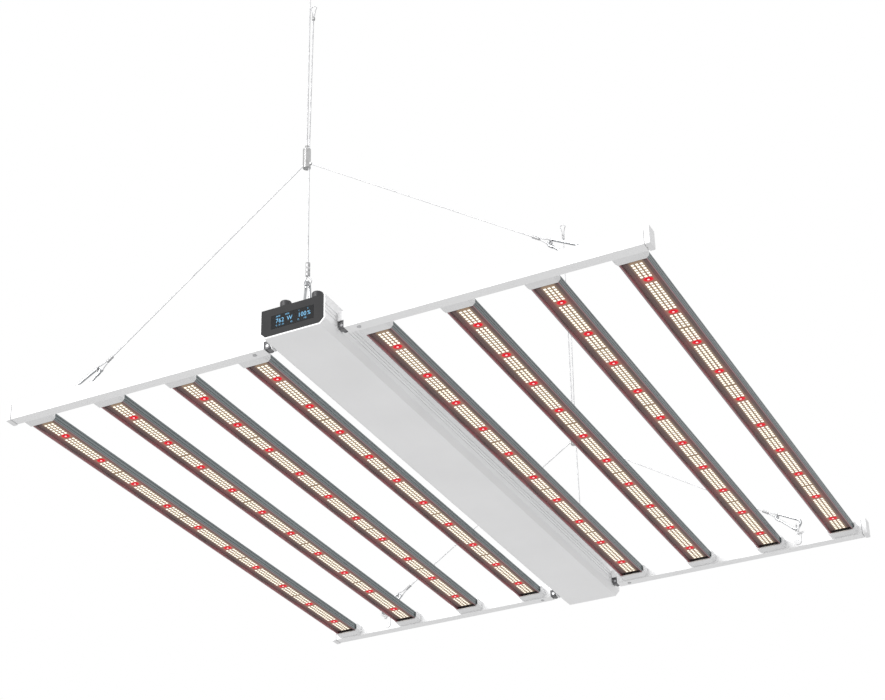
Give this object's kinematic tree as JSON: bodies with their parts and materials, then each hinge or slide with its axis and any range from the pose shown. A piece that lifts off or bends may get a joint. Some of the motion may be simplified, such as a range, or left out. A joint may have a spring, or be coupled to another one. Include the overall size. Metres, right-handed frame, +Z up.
{
  "type": "led grow light",
  "caption": "Suspended LED grow light: a driver housing with display and knobs, two folding wings of slim LED bars on cross arms, and adjustable wire rope hangers.",
  "frame": {"origin": "midway between the two ceiling eyes at the tops of the main wire ropes, 770 mm above the plane of the LED faces and on the middle of the driver housing", "axes": "+Z up, against the weight; +Y along the driver housing and the LED bars towards the end with the power gland, so the display faces -Y; +X across the bars, to the right when the display is faced"},
  "size_m": [1.0244, 1.099, 0.789],
  "materials": {
    "housing_shell": "satin white powder coat",
    "panel": "satin black",
    "display": "dark display window",
    "circuit_board": "solder mask",
    "led_board": "light solder mask",
    "driver_case": "plain",
    "small_steel": "zinc plated",
    "knob": "satin black",
    "gland": "satin black",
    "bracket": "satin white powder coat",
    "arm": "satin white powder coat",
    "cap": "satin white",
    "hinge_end": "black",
    "bar": "clear anodised",
    "tab": "satin white powder coat",
    "wire_rope": "galvanised",
    "rope_end": "galvanised",
    "hook": "nickel plated",
    "gripper": "nickel plated"
  },
  "bodies": {
    "housing": {"ceiling_eyes": "rope_end", "centre_carabiners": "hook", "centre_leg_ends": "rope_end", "control_board": "circuit_board", "display_window": "display", "driver_housing": "housing_shell", "far_centre_leg": "wire_rope", "far_main_strand": "wire_rope", "far_tail_strand": "wire_rope", "front_panel": "panel", "hinge_pins": "small_steel", "housing_eyes": "tab", "housing_hinge_brackets": "bracket", "knob_encoders": "small_steel", "led_drivers": "driver_case", "near_centre_leg": "wire_rope", "near_main_strand": "wire_rope", "near_tail_strand": "wire_rope", "power_gland": "gland", "rear_end_plate": "housing_shell", "rope_grippers": "gripper", "tail_eyes": "rope_end"},
    "left_wing": {"left_arms": "arm", "left_arm_end_caps": "cap", "left_arm_hinge_ends": "hinge_end", "left_bar_channels": "bar", "left_led_boards": "led_board", "left_bar_end_brackets": "bracket", "left_hanger_tabs": "tab", "left_arm_screws": "small_steel"},
    "left_legs": {"left_near_leg": "wire_rope", "left_far_leg": "wire_rope", "left_leg_carabiners": "hook", "left_leg_ends": "rope_end"},
    "left_near_leg_gate": {"left_near_leg_gate": "hook"},
    "left_far_leg_gate": {"left_far_leg_gate": "hook"},
    "left_knob": {"left_knob": "knob"},
    "right_wing": {"right_arms": "arm", "right_arm_end_caps": "cap", "right_arm_hinge_ends": "hinge_end", "right_bar_channels": "bar", "right_led_boards": "led_board", "right_bar_end_brackets": "bracket", "right_hanger_tabs": "tab", "right_arm_screws": "small_steel"},
    "right_legs": {"right_near_leg": "wire_rope", "right_far_leg": "wire_rope", "right_leg_carabiners": "hook", "right_leg_ends": "rope_end"},
    "right_near_leg_gate": {"right_near_leg_gate": "hook"},
    "right_far_leg_gate": {"right_far_leg_gate": "hook"},
    "right_knob": {"right_knob": "knob"},
    "near_centre_gate": {"near_centre_gate": "hook"},
    "near_release_plunger": {"near_release_plunger": "gripper"},
    "far_centre_gate": {"far_centre_gate": "hook"},
    "far_release_plunger": {"far_release_plunger": "gripper"}
  },
  "joints": [
    {"name": "left_wing_fold", "type": "hinge", "parent": "housing", "child": "left_wing", "pos_m": [-0.0595, 0, -0.7725], "axis": [0, -1, 0], "range_deg": [0, 90]},
    {"name": "left_legs_swing", "type": "hinge", "parent": "left_wing", "child": "left_legs", "pos_m": [-0.397, 0, -0.7405], "axis": [0, -1, 0], "range_deg": [-25.2, 0]},
    {"name": "right_wing_fold", "type": "hinge", "parent": "housing", "child": "right_wing", "pos_m": [0.0595, 0, -0.7725], "axis": [0, 1, 0], "range_deg": [0, 90]},
    {"name": "right_legs_swing", "type": "hinge", "parent": "right_wing", "child": "right_legs", "pos_m": [0.397, 0, -0.7405], "axis": [0, 1, 0], "range_deg": [-25.2, 0]},
    {"name": "left_near_leg_gate_hinge", "type": "hinge", "parent": "left_legs", "child": "left_near_leg_gate", "pos_m": [-0.37056, -0.489, -0.72787], "axis": [0, 1, 0], "range_deg": [0, 25], "stiffness_Nm_per_rad": 0.02, "springref_deg": -14.32},
    {"name": "left_far_leg_gate_hinge", "type": "hinge", "parent": "left_legs", "child": "left_far_leg_gate", "pos_m": [-0.37056, 0.489, -0.72787], "axis": [0, 1, 0], "range_deg": [0, 25], "stiffness_Nm_per_rad": 0.02, "springref_deg": -14.32},
    {"name": "right_near_leg_gate_hinge", "type": "hinge", "parent": "right_legs", "child": "right_near_leg_gate", "pos_m": [0.37044, -0.489, -0.72813], "axis": [0, -1, 0], "range_deg": [0, 25], "stiffness_Nm_per_rad": 0.02, "springref_deg": -14.32},
    {"name": "right_far_leg_gate_hinge", "type": "hinge", "parent": "right_legs", "child": "right_far_leg_gate", "pos_m": [0.37044, 0.489, -0.72813], "axis": [0, -1, 0], "range_deg": [0, 25], "stiffness_Nm_per_rad": 0.02, "springref_deg": -14.32},
    {"name": "near_centre_gate_hinge", "type": "hinge", "parent": "housing", "child": "near_centre_gate", "pos_m": [0, -0.5078, -0.6916], "axis": [1, 0, 0], "range_deg": [0, 25], "stiffness_Nm_per_rad": 0.02, "springref_deg": -14.32},
    {"name": "far_centre_gate_hinge", "type": "hinge", "parent": "housing", "child": "far_centre_gate", "pos_m": [0, 0.5078, -0.6916], "axis": [-1, 0, 0], "range_deg": [0, 25], "stiffness_Nm_per_rad": 0.02, "springref_deg": -14.32},
    {"name": "near_plunger_slide", "type": "slide", "parent": "housing", "child": "near_release_plunger", "axis": [0, 0, -1], "range_m": [0, 0.003], "stiffness_N_per_m": 400, "springref_m": -0.002},
    {"name": "far_plunger_slide", "type": "slide", "parent": "housing", "child": "far_release_plunger", "axis": [0, 0, -1], "range_m": [0, 0.003], "stiffness_N_per_m": 400, "springref_m": -0.002},
    {"name": "left_knob_turn", "type": "hinge", "parent": "housing", "child": "left_knob", "pos_m": [-0.0185, -0.5315, -0.7364], "axis": [0, 0, 1], "range_deg": [-150, 150]},
    {"name": "right_knob_turn", "type": "hinge", "parent": "housing", "child": "right_knob", "pos_m": [0.0325, -0.5315, -0.7364], "axis": [0, 0, 1], "range_deg": [-150, 150]}
  ],
  "couplings": [
    {"joint": "left_legs_swing", "follows": "left_wing_fold", "ratio": -0.28},
    {"joint": "right_legs_swing", "follows": "right_wing_fold", "ratio": -0.28}
  ]
}
